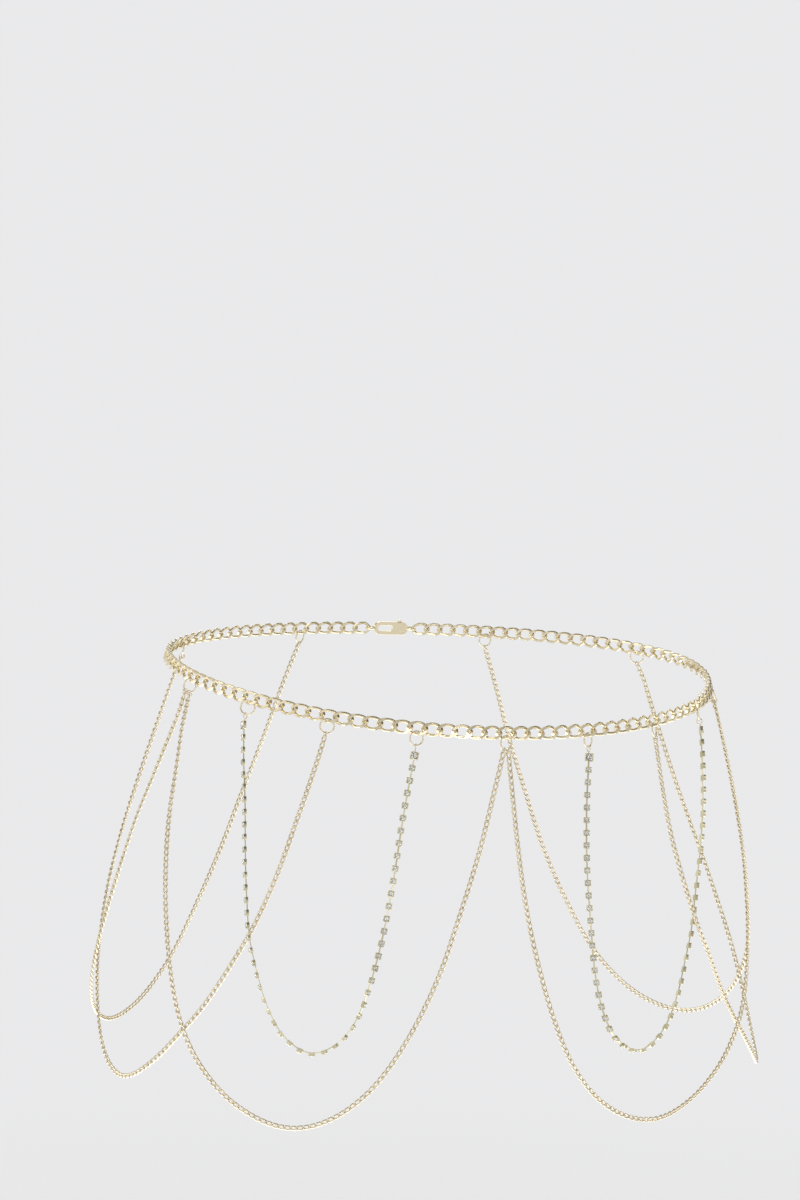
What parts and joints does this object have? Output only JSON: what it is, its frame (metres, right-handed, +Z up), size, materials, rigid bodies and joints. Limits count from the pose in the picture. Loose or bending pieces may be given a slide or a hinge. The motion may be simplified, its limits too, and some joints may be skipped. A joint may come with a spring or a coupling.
{
  "type": "waist chain",
  "caption": "Waist chain in worn form: a loop of curb links with jump rings, from which fine curb chains and square-cup stone chains hang in crossing swags, closed by a plain clasp.",
  "frame": {"origin": "centre of the waist loop at its widest line, where the waist goes in", "axes": "+Z up along the wearer, -Y out of the front over the middle link, +X to the picture's right"},
  "size_m": [0.3492, 0.2215, 0.239],
  "materials": {
    "gold": "polished, pale warm gold, with bright cut faces on the belt's links",
    "fine_gold": "polished, pale gold",
    "cup_gold": "polished, very pale gold",
    "crystal": "clear cut stone with a table and facets"
  },
  "bodies": {
    "root": {"belt_left": "gold", "belt_right": "gold", "clasp": "gold", "ring_front": "gold", "ring_left_1": "gold", "ring_left_2": "gold", "ring_left_3": "gold", "ring_left_4": "gold", "ring_left_5": "gold", "ring_left_6": "gold", "ring_right_1": "gold", "ring_right_2": "gold", "ring_right_3": "gold", "ring_right_4": "gold", "ring_right_5": "gold", "ring_right_6": "gold", "front_swag_left": "fine_gold", "front_swag_right": "fine_gold", "hip_swag_left": "fine_gold", "hip_swag_right": "fine_gold", "back_swag_left": "fine_gold", "back_swag_right": "fine_gold", "stone_swag_left": "cup_gold", "stone_swag_right": "cup_gold"}
  },
  "joints": []
}
